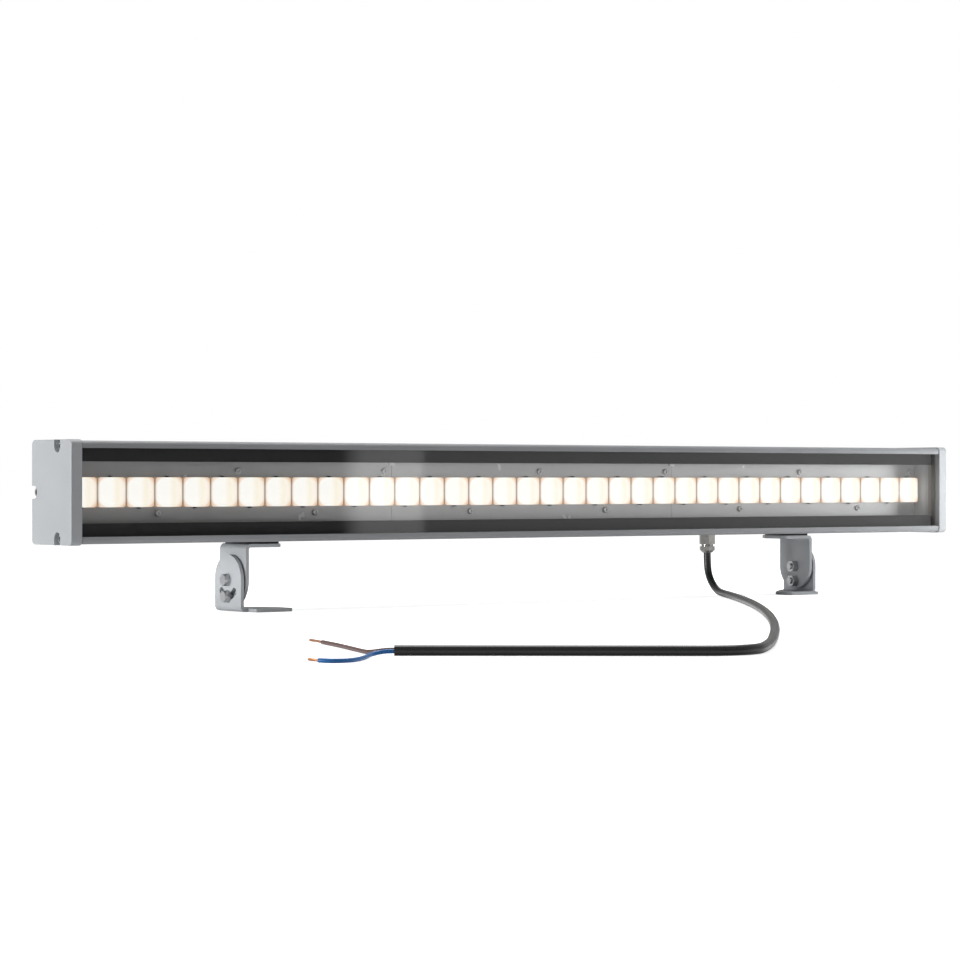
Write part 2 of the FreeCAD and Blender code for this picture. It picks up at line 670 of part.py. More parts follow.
def gland_seal():
    return tube(
        GLAND_MOUTH_R - SEAL_FIT, CABLE_R + SEAL_FIT, on_gland(GLAND_NECK_BOTTOM), on_gland(GLAND_HEX_BOTTOM)
    )


def gland_washer():
    bore = GLAND_THREAD_R + SCREW_FIT
    return tube(GLAND_WASHER_R, bore, on_gland(HOUSING_BASE - GLAND_WASHER), on_gland(HOUSING_BASE))


def gland_locknut():
    floor = HOUSING_BASE + WALL
    nut = hex_bar(GLAND_AF, on_gland(floor), on_gland(floor + LOCKNUT_H))
    return nut.cut(rod(GLAND_THREAD_R + SCREW_FIT, on_gland(floor - 1), on_gland(floor + LOCKNUT_H + 1)))


def cable_inside():
    return rod(CABLE_R, on_gland(GLAND_NUT_BOTTOM), on_gland(CABLE_INSIDE_TOP))


# ------------------------------------------------------------------ brackets

def upright(x_low, x_high, z_end):
    """Upright of a bracket: straight to z_end, and round about the pivot at its other end."""
    half = BRACKET_W / 2
    plate = block((x_low, -half, min(PIVOT_Z, z_end)), (x_high, half, max(PIVOT_Z, z_end)))
    return plate.fuse(rod(half, (x_low, 0, PIVOT_Z), (x_high, 0, PIVOT_Z)))


def bolt_hole(radius, z):
    return rod(radius, (UPPER_IN - 1, 0, z), (PLATE_OUT + 1, 0, z))


def flange_plate(inset, x_out, z_low, z_high):
    """Plate in the flange's outline seen from above, each edge moved in by inset."""
    half = BRACKET_W / 2 - inset
    end = FLANGE_END + inset
    corners = [
        (x_out, -half), (end, -half), (end, half - FLANGE_CUT_Y), (end + FLANGE_CUT_X, half), (x_out, half),
    ]
    outline = Part.makePolygon([Vec(x, y, z_low) for x, y in corners + corners[:1]])
    plate = Part.Face(outline).extrude(Vec(0, 0, z_high - z_low))
    return fillet(plate, FLANGE_CORNER - inset, Vec(0, 0, 1), x=end, y=-half)


def upper_bracket():
    """Right-hand upper bracket: an upright, and a flange inwards under the housing."""
    flange = flange_plate(0.0, UPPER_OUT, FLANGE_TOP - SHEET, FLANGE_TOP)
    sheet = upright(UPPER_IN, UPPER_OUT, FLANGE_TOP).fuse(flange).removeSplitter()
    sheet = fillet(sheet, BEND + SHEET, Vec(0, 1, 0), x=UPPER_OUT, z=FLANGE_TOP)
    sheet = fillet(sheet, BEND, Vec(0, 1, 0), x=UPPER_IN, z=FLANGE_TOP - SHEET)
    cuts = [bolt_hole(BOLT_R + SCREW_FIT, PIVOT_Z), bolt_hole(BOLT_R + SCREW_FIT, LOCK_Z)]
    cuts.append(flange_screw(SCREW_FIT))
    return sheet.cut(cuts)


def flange_screw(room):
    """Countersunk screw up through the flange and the pad; with room it is the hole for it."""
    foot = Vec(FLANGE_SCREW_X, 0, FLANGE_TOP - SHEET)
    head = Part.makeCone(CSK_R + room, BOLT_R + room, SHEET, foot, Vec(0, 0, 1))
    return head.fuse(rod(BOLT_R + room, tuple(foot), (FLANGE_SCREW_X, 0, FLANGE_SCREW_END))).removeSplitter()


def flange_screw_solid():
    socket = hex_bar(
        4.0, (FLANGE_SCREW_X, 0, FLANGE_TOP - SHEET - 1), (FLANGE_SCREW_X, 0, FLANGE_TOP - SHEET + 2)
    )
    return flange_screw(0.0).cut(socket)


def bracket_pad():
    """Rubber pad between the flange and the housing."""
    pad = flange_plate(PAD_INSET, UPPER_IN - PAD_INSET, FLANGE_TOP, HOUSING_BASE)
    return pad.cut(flange_screw(CLEAR_HOLE))


def slot_nut():
    half_x = SLOT_NUT_LENGTH / 2
    half_y = TSLOT_WIDTH / 2 - SLOT_NUT_ROOM
    z = HOUSING_BASE + TSLOT_LIP
    nut = block(
        (FLANGE_SCREW_X - half_x, -half_y, z), (FLANGE_SCREW_X + half_x, half_y, z + SLOT_NUT_HEIGHT)
    )
    return nut.cut(flange_screw(SCREW_FIT))


def arc_slot(x_low, x_high):
    """Slot round the pivot that the lock bolt slides in."""
    limit = math.radians(TILT_LIMIT + SLOT_OVERRUN)

    def point(radius, angle, past=0.0):
        y = radius * math.sin(angle) + past * math.cos(angle)
        return Vec(x_low, y, PIVOT_Z - radius * math.cos(angle) + past * math.sin(angle))

    outer = LOCK_RADIUS + LOCK_SLOT_W / 2
    inner = LOCK_RADIUS - LOCK_SLOT_W / 2
    end = LOCK_SLOT_W / 2
    arcs = [
        Part.Arc(point(outer, -limit), point(outer, 0), point(outer, limit)),
        Part.Arc(point(outer, limit), point(LOCK_RADIUS, limit, end), point(inner, limit)),
        Part.Arc(point(inner, limit), point(inner, 0), point(inner, -limit)),
        Part.Arc(point(inner, -limit), point(LOCK_RADIUS, -limit, -end), point(outer, -limit)),
    ]
    return Part.Face(Part.Wire([arc.toShape() for arc in arcs])).extrude(Vec(x_high - x_low, 0, 0))


def foot_plate():
    """Foot seen from above: a neck under the upright and a toe that reaches forwards."""
    half = BRACKET_W / 2
    neck = PLATE_OUT - FOOT_NECK
    toe = PLATE_OUT - FOOT_REACH
    corners = [
        (PLATE_OUT, -half), (neck, -half), (neck, FOOT_TOE_Y), (toe, FOOT_TOE_Y),
        (toe, FOOT_HEEL_Y), (neck, half), (PLATE_OUT, half),
    ]
    outline = Part.makePolygon([Vec(x, y, 0) for x, y in corners + corners[:1]])
    plate = Part.Face(outline).extrude(Vec(0, 0, SHEET))
    for x, y in ((neck, FOOT_TOE_Y), (toe, FOOT_TOE_Y), (toe, FOOT_HEEL_Y)):
        plate = fillet(plate, FOOT_CORNER, Vec(0, 0, 1), x=x, y=y)
    return plate


def lower_bracket():
    """Right-hand lower bracket: it tilts about the pivot bolt and is screwed down through its foot."""
    plate_in = PLATE_OUT - SHEET
    sheet = upright(plate_in, PLATE_OUT, 0.0).fuse(foot_plate()).removeSplitter()
    sheet = fillet(sheet, BEND + SHEET, Vec(0, 1, 0), x=PLATE_OUT, z=0.0)
    sheet = fillet(sheet, BEND, Vec(0, 1, 0), x=plate_in, z=SHEET)
    shift = FOOT_SLOT_LENGTH / 2 - FOOT_SLOT_WIDTH / 2
    half = FOOT_SLOT_WIDTH / 2
    cuts = [bolt_hole(BOLT_R + PIVOT_FIT, PIVOT_Z), arc_slot(plate_in - 1, PLATE_OUT + 1)]
    for x in (FOOT_SLOT_X - shift, FOOT_SLOT_X + shift):
        cuts.append(rod(half, (x, FOOT_SLOT_Y, -1), (x, FOOT_SLOT_Y, SHEET + 1)))
    cuts.append(block(
        (FOOT_SLOT_X - shift, FOOT_SLOT_Y - half, -1), (FOOT_SLOT_X + shift, FOOT_SLOT_Y + half, SHEET + 1)
    ))
    return sheet.cut(cuts)


HEAD_SEAT = PLATE_OUT + SLIDE_GAP + WASHER_T
NUT_SEAT = UPPER_IN - WASHER_T
BOLT_HEIGHTS = (PIVOT_Z, LOCK_Z)


def tilt_bolt(z):
    """Hexagon-head bolt from outside, through both uprights."""
    head = hex_bar(BOLT_AF, (HEAD_SEAT, 0, z), (HEAD_SEAT + BOLT_HEAD_H, 0, z))
    crown = Part.makeCone(BOLT_AF * 0.62, BOLT_AF * 0.47, BOLT_HEAD_H, Vec(HEAD_SEAT, 0, z), Vec(1, 0, 0))
    return head.common(crown).fuse(rod(BOLT_R, (NUT_SEAT - NUT_H - BOLT_END, 0, z), (HEAD_SEAT, 0, z)))


def ring_at(x_low, x_high, z):
    return tube(WASHER_R, WASHER_BORE_R, (x_low, 0, z), (x_high, 0, z))


def tilt_washers():
    washers = []
    for z in BOLT_HEIGHTS:
        washers.append(ring_at(PLATE_OUT + SLIDE_GAP, HEAD_SEAT, z))
        washers.append(ring_at(NUT_SEAT, UPPER_IN, z))
    return both_sides(washers)


def tilt_spacers():
    return both_sides([ring_at(UPPER_OUT, UPPER_OUT + PLATE_GAP - SLIDE_GAP, z) for z in BOLT_HEIGHTS])


def tilt_nuts():
    nuts = []
    for z in BOLT_HEIGHTS:
        nut = hex_bar(BOLT_AF, (NUT_SEAT - NUT_H, 0, z), (NUT_SEAT, 0, z))
        nuts.append(nut.cut(rod(BOLT_R + SCREW_FIT, (NUT_SEAT - NUT_H - 1, 0, z), (NUT_SEAT + 1, 0, z))))
    return both_sides(nuts)


# ------------------------------------------------------------------ cables

def rounded_route(points):
    """Straight runs joined by tangent arcs. Gives the edges, the arcs' radii and the length."""
    corners = [Vec(*point) for point in points]
    edges = []
    radii = []
    start = corners[0]
    for before, corner, after in zip(corners, corners[1:], corners[2:]):
        run_in = corner - before
        run_out = after - corner
        reach = ARC_SHARE * min(run_in.Length, run_out.Length)
        half_turn = run_in.getAngle(run_out) / 2
        run_in.normalize()
        run_out.normalize()
        radius = reach / math.tan(half_turn)
        inwards = (run_out - run_in).normalize()
        arc_start = corner - run_in * reach
        arc_end = corner + run_out * reach
        arc_middle = corner + inwards * (radius * (1 / math.cos(half_turn) - 1))
        edges.append(Part.LineSegment(start, arc_start).toShape())
        edges.append(Part.Arc(arc_start, arc_middle, arc_end).toShape())
        radii.append(radius)
        start = arc_end
    edges.append(Part.LineSegment(start, corners[-1]).toShape())
    return edges, radii, sum(edge.Length for edge in edges)


def soft_tube(points, radius):
    edges = rounded_route(points)[0]
    start = Vec(*points[0])
    section = Part.Wire([Part.makeCircle(radius, start, Vec(*points[1]) - start)])
    return Part.Wire(edges).makePipeShell([section], True, False)


def free_cable(name, points, radius):
    """One stretch of the free cable, with its radii, length and volume printed."""
    edges, radii, length = rounded_route(points)
    solid = soft_tube(points, radius)
    expected = math.pi * radius ** 2 * length
    print("%s: length %.1f, volume/expected %.4f, radii %s" % (
        name, length, solid.Volume / expected, " ".join("%.0f" % value for value in radii)))
    save(name, solid)


# ------------------------------------------------------------------ nodes

os.makedirs("parts", exist_ok=True)

save("housing_extrusion", housing_extrusion())
for side_name, place in (("right", lambda shape: shape), ("left", mirrored)):
    save("end_cap_" + side_name, place(end_cap()))
    save("end_gasket_" + side_name, place(end_gasket()))
    save("upper_bracket_" + side_name, place(upper_bracket()))
    save("lower_bracket_" + side_name, place(lower_bracket()))
    save("bracket_pad_" + side_name, place(bracket_pad()))
save("cap_screws", *cap_screws())
save("front_glass", front_glass())
save("glass_seal_upper", glass_seal(1))
save("glass_seal_lower", glass_seal(-1))

for number in range(BOARD_COUNT):
    label = str(number + 1)
    save("led_board_" + label, led_board(number))
    save("led_chips_" + label, *[led_chip(x) for x in led_centres(number)])
    save("lens_row_" + label, *[lens(x) for x in led_centres(number)])
save("board_screws", *board_screws())
save("board_links", *board_links())

save("driver_tray", driver_tray())
save("driver_board", driver_board())
save("driver_components", *driver_components())
save("driver_lid", driver_lid())
save("driver_screws", *driver_screws())
save("terminal_block", terminal_block())
save("terminal_screw", terminal_screw())
save("supply_cores", *supply_cores())
save("driver_feed_wires", *driver_feed_wires())
save("led_wires", *led_wires())

save("gland_body", gland_body())
save("gland_nut", gland_nut())
save("gland_seal", gland_seal())
save("gland_washer", gland_washer())
save("gland_locknut", gland_locknut())
save("cable_inside", cable_inside())

save("bracket_screws", *both_sides([flange_screw_solid()]))
save("slot_nuts", *both_sides([slot_nut()]))
save("pivot_bolts", *both_sides([tilt_bolt(PIVOT_Z)]))
save("lock_bolts", *both_sides([tilt_bolt(LOCK_Z)]))
save("tilt_washers", *tilt_washers())
save("tilt_spacers", *tilt_spacers())
save("tilt_nuts", *tilt_nuts())

free_cable("power_cable", CABLE_ROUTE, CABLE_R)
free_cable("brown_core", BROWN_ROUTE, CORE_R)
free_cable("blue_core", BLUE_ROUTE, CORE_R)
free_cable("brown_copper", BROWN_COPPER, COPPER_R)
free_cable("blue_copper", BLUE_COPPER, COPPER_R)
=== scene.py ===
import math

import bmesh
import bpy
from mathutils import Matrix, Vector


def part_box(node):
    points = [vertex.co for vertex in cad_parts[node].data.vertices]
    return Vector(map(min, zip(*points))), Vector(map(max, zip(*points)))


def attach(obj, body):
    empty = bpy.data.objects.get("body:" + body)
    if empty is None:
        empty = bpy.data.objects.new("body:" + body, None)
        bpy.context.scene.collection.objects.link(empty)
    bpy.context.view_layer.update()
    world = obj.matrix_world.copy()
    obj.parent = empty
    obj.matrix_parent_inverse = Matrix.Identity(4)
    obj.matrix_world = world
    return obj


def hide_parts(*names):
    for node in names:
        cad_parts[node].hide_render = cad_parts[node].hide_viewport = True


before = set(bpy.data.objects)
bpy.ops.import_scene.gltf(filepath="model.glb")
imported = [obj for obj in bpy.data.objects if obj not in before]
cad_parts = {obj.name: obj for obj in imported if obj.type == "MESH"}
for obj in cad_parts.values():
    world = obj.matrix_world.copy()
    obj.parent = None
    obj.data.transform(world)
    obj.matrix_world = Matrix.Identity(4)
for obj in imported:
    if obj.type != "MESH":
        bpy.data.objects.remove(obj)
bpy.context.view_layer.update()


# ---------------------------------------------------------------- camera
# The light is seen from its left end and from in front, level with its middle, through a long lens.
# Yaw is measured from +Y, which looks straight at the side that shines.
CAMERA_PLACE = (-1.576, -2.0814, 0.1127)
CAMERA_YAW = math.radians(36)
LENS_MM = 105.54
SENSOR_MM = 36.0

camera = bpy.data.objects.new("camera", bpy.data.cameras.new("camera"))
camera.data.lens = LENS_MM
camera.data.sensor_width = SENSOR_MM
camera.location = CAMERA_PLACE
camera.rotation_euler = (math.pi / 2, 0.0, -CAMERA_YAW)
bpy.context.scene.collection.objects.link(camera)
bpy.context.scene.camera = camera


# ---------------------------------------------------------------- cable sheath
# A round two-core flex with a sheath of black rubber, extruded over the cores and rather stiff. It drops
# from the gland, bends round on the floor and runs forwards, with a second bend before its stripped end.
CABLE_R = 0.0035
CABLE_ROUTE = [
    (0.224, 0.0175, 0.0417), (0.224, 0.0175, 0.031), (0.2236, 0.0152, 0.0205), (0.2226, 0.0085, 0.0115),
    (0.219, -0.0035, 0.005), (0.209, -0.023, 0.0035), (0.184, -0.063, 0.0035), (0.137, -0.132, 0.0035),
    (0.078, -0.215, 0.0035), (0.017, -0.295, 0.0035), (-0.047, -0.375, 0.0035), (-0.114, -0.455, 0.0035),
    (-0.184, -0.535, 0.0035), (-0.252, -0.609, 0.0035), (-0.305, -0.665, 0.0035),
    (-0.337, -0.6955, 0.0035), (-0.3535, -0.71, 0.0035), (-0.3635, -0.7155, 0.0035),
    (-0.375, -0.718, 0.0035), (-0.3865, -0.717, 0.0035), (-0.3975, -0.713, 0.0035),
    (-0.415, -0.6995, 0.0035), (-0.45, -0.6735, 0.0035), (-0.505, -0.632, 0.0035),
    (-0.5608, -0.5907, 0.0035),
]
SHEATH_BLACK = "#151516"
SHEATH_WORN = "#1E1E1F"
GRAIN_MM = 0.9              # the rubber's grain is finer; drawn this coarse so that it shows
WORN_PATCH_MM = 14


def linear(code):
    """An sRGB hex colour as the linear colour that a shader wants."""
    channels = [int(code[i:i + 2], 16) / 255 for i in (1, 3, 5)]
    return tuple(c / 12.92 if c <= 0.04045 else ((c + 0.055) / 1.055) ** 2.4 for c in channels) + (1.0,)


def add_node(tree, kind, inputs=None, **settings):
    """Add a node. Each input is a plain value, or another node's output to link."""
    added = tree.nodes.new(kind)
    for name, value in settings.items():
        setattr(added, name, value)
    for socket, value in (inputs or {}).items():
        if isinstance(value, bpy.types.NodeSocket):
            tree.links.new(value, added.inputs[socket])
        else:
            added.inputs[socket].default_value = value
    return added


def start_material(name):
    material = bpy.data.materials.new(name)
    material.use_nodes = True
    material.node_tree.nodes.clear()
    return material, material.node_tree


def close_material(tree, shader):
    output = add_node(tree, "ShaderNodeOutputMaterial")
    tree.links.new(shader.outputs[0], output.inputs["Surface"])


def per_metre(millimetres):
    """Texture scale for a pattern of that size."""
    return 1000.0 / millimetres


def finish(material, *names):
    """Give modelled nodes a material."""
    for name in names:
        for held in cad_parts[name].material_slots:
            held.material = material


def link_piece(name, data, material, body):
    piece = bpy.data.objects.new(name, data)
    bpy.context.scene.collection.objects.link(piece)
    data.materials.append(material)
    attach(piece, body)
    return piece


def laid_line(name, route, radius):
    """A smooth round line whose control points are the route's."""
    curve = bpy.data.curves.new(name, "CURVE")
    curve.dimensions = "3D"
    curve.resolution_u = 16
    curve.bevel_depth = radius
    curve.bevel_resolution = 7
    curve.use_fill_caps = True
    spline = curve.splines.new("NURBS")
    spline.points.add(len(route) - 1)
    for point, place in zip(spline.points, route):
        point.co = (*place, 1.0)
    spline.order_u = 3
    spline.use_endpoint_u = True
    return curve


# Neoprene rubber, extruded: a soft dull black with a faint sheen and a fine grain.
rubber_sheath, tree = start_material("extruded_neoprene_rubber")
place = add_node(tree, "ShaderNodeTexCoord")
mottle = add_node(tree, "ShaderNodeTexNoise", {
    "Vector": place.outputs["Object"], "Scale": per_metre(WORN_PATCH_MM), "Detail": 3.0})
tone = add_node(tree, "ShaderNodeValToRGB", {"Fac": mottle.outputs["Fac"]})
tone.color_ramp.elements[0].color = linear(SHEATH_BLACK)
tone.color_ramp.elements[1].color = linear(SHEATH_WORN)
grain = add_node(tree, "ShaderNodeTexNoise", {
    "Vector": place.outputs["Object"], "Scale": per_metre(GRAIN_MM), "Detail": 2.0})
dull = add_node(tree, "ShaderNodeMapRange", {
    "Value": grain.outputs["Fac"], "To Min": 0.24, "To Max": 0.34})
relief = add_node(tree, "ShaderNodeBump", {
    "Height": grain.outputs["Fac"], "Strength": 0.12, "Distance": 0.0001})
close_material(tree, add_node(tree, "ShaderNodeBsdfPrincipled", {
    "Base Color": tone.outputs["Color"], "Roughness": dull.outputs["Result"],
    "Normal": relief.outputs["Normal"], "IOR": 1.52}))

sheath = link_piece("cable", laid_line("cable", CABLE_ROUTE, CABLE_R), rubber_sheath,
                    "housing")
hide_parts("power_cable")
finish(rubber_sheath, "cable_inside")


# ---------------------------------------------------------------- stripped cores
# Two cores of stranded copper in coloured PVC, brown and blue, spread apart where the sheath ends.
# Each ends in a short length of bare copper: 19 bright wires twisted together.
CORE_R = 0.00145
COPPER_R = 0.00095
STRAND_R = COPPER_R / 5            # five wires lie across the bundle
STRAND_RINGS = ((0, 1), (1, 6), (2, 12))    # each ring's place from the centre, and its wires
STRAND_LAY = 0.028                 # length of one turn of the twist
CUT_SPREAD = 0.0004                # how unevenly the wires are cut, in CUT_STEPS lengths
CUT_STEPS = 5
PVC_MOTTLE_MM = 6
TARNISH_MM = 2.5
BROWN_ROUTE = [
    (-0.55991, -0.58948, 0.0039), (-0.56351, -0.58682, 0.0039), (-0.5665, -0.5825, 0.0032),
    (-0.5675, -0.5765, 0.0023), (-0.566, -0.567, 0.0015), (-0.561, -0.553, 0.00145),
    (-0.554, -0.533, 0.00145), (-0.5435, -0.504, 0.00145), (-0.534, -0.475, 0.00145),
    (-0.528, -0.455, 0.00145),
]
BROWN_COPPER = [(-0.528, -0.455, 0.00145), (-0.5241, -0.442, 0.00145), (-0.5215, -0.429, 0.00145)]
BROWN_LENGTH = 0.144
BLUE_ROUTE = [
    (-0.5617, -0.5919, 0.0031), (-0.5657, -0.58894, 0.0031), (-0.5712, -0.5879, 0.0024),
    (-0.5775, -0.59, 0.0017), (-0.585, -0.597, 0.00145), (-0.594, -0.608, 0.00145),
    (-0.606, -0.62, 0.00145), (-0.615, -0.627, 0.00145), (-0.622, -0.63, 0.00145),
    (-0.629, -0.6297, 0.00145), (-0.6344, -0.6251, 0.00145), (-0.6357, -0.6181, 0.00145),
]
BLUE_COPPER = [(-0.6357, -0.6181, 0.00145), (-0.63661, -0.6132, 0.00145), (-0.6355, -0.606, 0.00145)]
BLUE_LENGTH = 0.098


def line_points(route):
    """Points along the smooth line of a route."""
    holder = bpy.data.objects.new("line", laid_line("line", route, 0.0))
    mesh = bpy.data.meshes.new_from_object(holder)
    points = [vertex.co.copy() for vertex in mesh.vertices]
    bpy.data.objects.remove(holder)
    bpy.data.meshes.remove(mesh)
    return points


def twisted_strands(name, route):
    """19 wires twisted about a route; each is cut a little shorter or longer than the next."""
    points = line_points(route)
    curve = bpy.data.curves.new(name, "CURVE")
    curve.dimensions = "3D"
    curve.bevel_depth = STRAND_R
    curve.bevel_resolution = 2
    curve.use_fill_caps = True
    for ring, count in STRAND_RINGS:
        for number in range(count):
            spline = curve.splines.new("POLY")
            spline.points.add(len(points) - 1)
            travelled = 0.0
            for i, centre in enumerate(points):
                ahead = points[min(i + 1, len(points) - 1)] - points[max(i - 1, 0)]
                side = ahead.cross(Vector((0, 0, 1))).normalized()
                over = side.cross(ahead).normalized()
                if i:
                    travelled += (centre - points[i - 1]).length
                turn = 2 * math.pi * (number / count + travelled / STRAND_LAY)
                reach = 2 * STRAND_R * ring
                at = centre + side * (reach * math.cos(turn)) + over * (reach * math.sin(turn))
                if i == len(points) - 1:
                    cut = (number * 7 + ring * 3) % CUT_STEPS
                    at -= ahead.normalized() * (CUT_SPREAD * cut / (CUT_STEPS - 1))
                spline.points[i].co = (*at, 1.0)
    return curve


def pvc(name, colour, deep):
    """Soft PVC, extruded: an even colour, slightly glossy, with faint mottling from handling."""
    material, tree = start_material(name)
    place = add_node(tree, "ShaderNodeTexCoord")
    mottle = add_node(tree, "ShaderNodeTexNoise", {
        "Vector": place.outputs["Object"], "Scale": per_metre(PVC_MOTTLE_MM), "Detail": 2.0})
    tone = add_node(tree, "ShaderNodeValToRGB", {"Fac": mottle.outputs["Fac"]})
    tone.color_ramp.elements[0].color = linear(deep)
    tone.color_ramp.elements[1].color = linear(colour)
    dull = add_node(tree, "ShaderNodeMapRange", {
        "Value": mottle.outputs["Fac"], "To Min": 0.3, "To Max": 0.42})
    close_material(tree, add_node(tree, "ShaderNodeBsdfPrincipled", {
        "Base Color": tone.outputs["Color"], "Roughness": dull.outputs["Result"], "IOR": 1.53}))
    return material


# Bare annealed copper, drawn: a warm bright metal, slightly darker where it has begun to oxidise.
copper, tree = start_material("drawn_copper")
place = add_node(tree, "ShaderNodeTexCoord")
tarnish = add_node(tree, "ShaderNodeTexNoise", {
    "Vector": place.outputs["Object"], "Scale": per_metre(TARNISH_MM), "Detail": 3.0})
tone = add_node(tree, "ShaderNodeValToRGB", {"Fac": tarnish.outputs["Fac"]})
tone.color_ramp.elements[0].color = linear("#B0744E")
tone.color_ramp.elements[1].color = linear("#E3AE84")
dull = add_node(tree, "ShaderNodeMapRange", {
    "Value": tarnish.outputs["Fac"], "To Min": 0.28, "To Max": 0.42})
close_material(tree, add_node(tree, "ShaderNodeBsdfPrincipled", {
    "Base Color": tone.outputs["Color"], "Metallic": 1.0, "Roughness": dull.outputs["Result"]}))

brown_pvc = pvc("extruded_pvc_brown", "#6A4640", "#4C302B")
blue_pvc = pvc("extruded_pvc_blue", "#1A7ED0", "#1068B0")
for colour, route, bare, length, insulation in (
    ("brown", BROWN_ROUTE, BROWN_COPPER, BROWN_LENGTH, brown_pvc),
    ("blue", BLUE_ROUTE, BLUE_COPPER, BLUE_LENGTH, blue_pvc),
):
    end = link_piece(colour + "_copper_end", twisted_strands(colour + "_copper_end", bare), copper,
                     "housing")
    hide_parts(colour + "_copper")
    core = link_piece(colour + "_insulation", laid_line(colour + "_insulation", route, CORE_R), insulation,
                      "housing")
    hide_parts(colour + "_core")


# ---------------------------------------------------------------- housing, end caps and brackets
# An aluminium extrusion, cast end caps and pressed brackets, finished in a silver-grey polyester powder
# coat, which flows out to a satin skin with a faint orange peel. The extrusion gets a darker copy of the
# same coat, which is painted shade.
PEEL_MM = 1.6               # wavelength of the orange peel
FLECK_MM = 0.5              # metal flake in the coat; real flake is finer, drawn this coarse to show
CLOUD_MM = 60               # slow change of the coat's tone
TONE_FROM, TONE_TO = 0.35, 0.65     # the middle of the noise's range, where most of it lies


def powder_coat(name, colour, shade):
    """Polyester powder coat, baked: a satin grey with fine metal flake and a faint orange peel."""
    material, tree = start_material(name)
    place = add_node(tree, "ShaderNodeTexCoord")
    cloud = add_node(tree, "ShaderNodeTexNoise", {
        "Vector": place.outputs["Object"], "Scale": per_metre(CLOUD_MM), "Detail": 2.0})
    fleck = add_node(tree, "ShaderNodeTexNoise", {
        "Vector": place.outputs["Object"], "Scale": per_metre(FLECK_MM), "Detail": 1.0})
    total = add_node(tree, "ShaderNodeMath", {
        0: cloud.outputs["Fac"], 1: fleck.outputs["Fac"]}, operation="ADD")
    mean = add_node(tree, "ShaderNodeMath", {0: total.outputs[0], 1: 0.5}, operation="MULTIPLY")
    tone = add_node(tree, "ShaderNodeValToRGB", {"Fac": mean.outputs[0]})
    tone.color_ramp.elements[0].position = TONE_FROM
    tone.color_ramp.elements[0].color = linear(shade)
    tone.color_ramp.elements[1].position = TONE_TO
    tone.color_ramp.elements[1].color = linear(colour)
    peel = add_node(tree, "ShaderNodeTexNoise", {
        "Vector": place.outputs["Object"], "Scale": per_metre(PEEL_MM), "Detail": 1.0})
    dull = add_node(tree, "ShaderNodeMapRange", {
        "Value": fleck.outputs["Fac"], "To Min": 0.36, "To Max": 0.46})
    relief = add_node(tree, "ShaderNodeBump", {
        "Height": peel.outputs["Fac"], "Strength": 0.1, "Distance": 0.00015})
    close_material(tree, add_node(tree, "ShaderNodeBsdfPrincipled", {
        "Base Color": tone.outputs["Color"], "Roughness": dull.outputs["Result"],
        "Normal": relief.outputs["Normal"], "IOR": 1.5}))
    return material


# The extrusion's copy is the same coat painted darker: painted shade, not a different coat.
finish(powder_coat("polyester_powder_coat_painted_shade", "#95979A", "#8B8D90"), "housing_extrusion")
light_coat = powder_coat("polyester_powder_coat_light", "#ADB0B3", "#A4A7AA")
for side in ("left", "right"):
    finish(light_coat, "end_cap_" + side, "upper_bracket_" + side, "lower_bracket_" + side)


# ---------------------------------------------------------------- silicone seals, gaskets and pads
# Strips and pads of black silicone, moulded or die-cut. Behind the glass they show as the two black
# bands above and below the window. The gaskets under the end caps are grey.
BLOOM_MM = 9


def silicone(name, colour, shade):
    """Silicone rubber, moulded: dull and even, with a faint dusty bloom."""
    material, tree = start_material(name)
    place = add_node(tree, "ShaderNodeTexCoord")
    bloom = add_node(tree, "ShaderNodeTexNoise", {
        "Vector": place.outputs["Object"], "Scale": per_metre(BLOOM_MM), "Detail": 4.0})
    tone = add_node(tree, "ShaderNodeValToRGB", {"Fac": bloom.outputs["Fac"]})
    tone.color_ramp.elements[0].color = linear(shade)
    tone.color_ramp.elements[1].color = linear(colour)
    dull = add_node(tree, "ShaderNodeMapRange", {
        "Value": bloom.outputs["Fac"], "To Min": 0.5, "To Max": 0.68})
    close_material(tree, add_node(tree, "ShaderNodeBsdfPrincipled", {
        "Base Color": tone.outputs["Color"], "Roughness": dull.outputs["Result"], "IOR": 1.43}))
    return material


finish(silicone("moulded_silicone_black", "#1B1B1C", "#121213"), "glass_seal_upper", "glass_seal_lower",
       "gland_seal", "gland_washer", "bracket_pad_left", "bracket_pad_right")
finish(silicone("die_cut_silicone_grey", "#8E8A85", "#7C7975"), "end_gasket_left", "end_gasket_right")


# ---------------------------------------------------------------- front glass
# A pane of clear toughened glass, 4 mm thick, held between the lips and the seals. Both of its faces
# mirror a little, which is what shows over the black bands.
GLASS_IOR = 1.5

glass, tree = start_material("toughened_glass")
clear = add_node(tree, "ShaderNodeBsdfTransparent", {"Color": linear("#FCFCFC")})
mirror = add_node(tree, "ShaderNodeBsdfGlossy", {"Roughness": 0.02})
# A ray leaves by the pane's far face without bending, so that face mirrors as if met from outside.
face = add_node(tree, "ShaderNodeNewGeometry")
index = add_node(tree, "ShaderNodeMapRange", {
    "Value": face.outputs["Backfacing"], "To Min": GLASS_IOR, "To Max": 1 / GLASS_IOR})
angle = add_node(tree, "ShaderNodeFresnel", {"IOR": index.outputs["Result"]})
close_material(tree, add_node(tree, "ShaderNodeMixShader", {
    0: angle.outputs["Fac"], 1: clear.outputs[0], 2: mirror.outputs[0]}))
finish(glass, "front_glass")


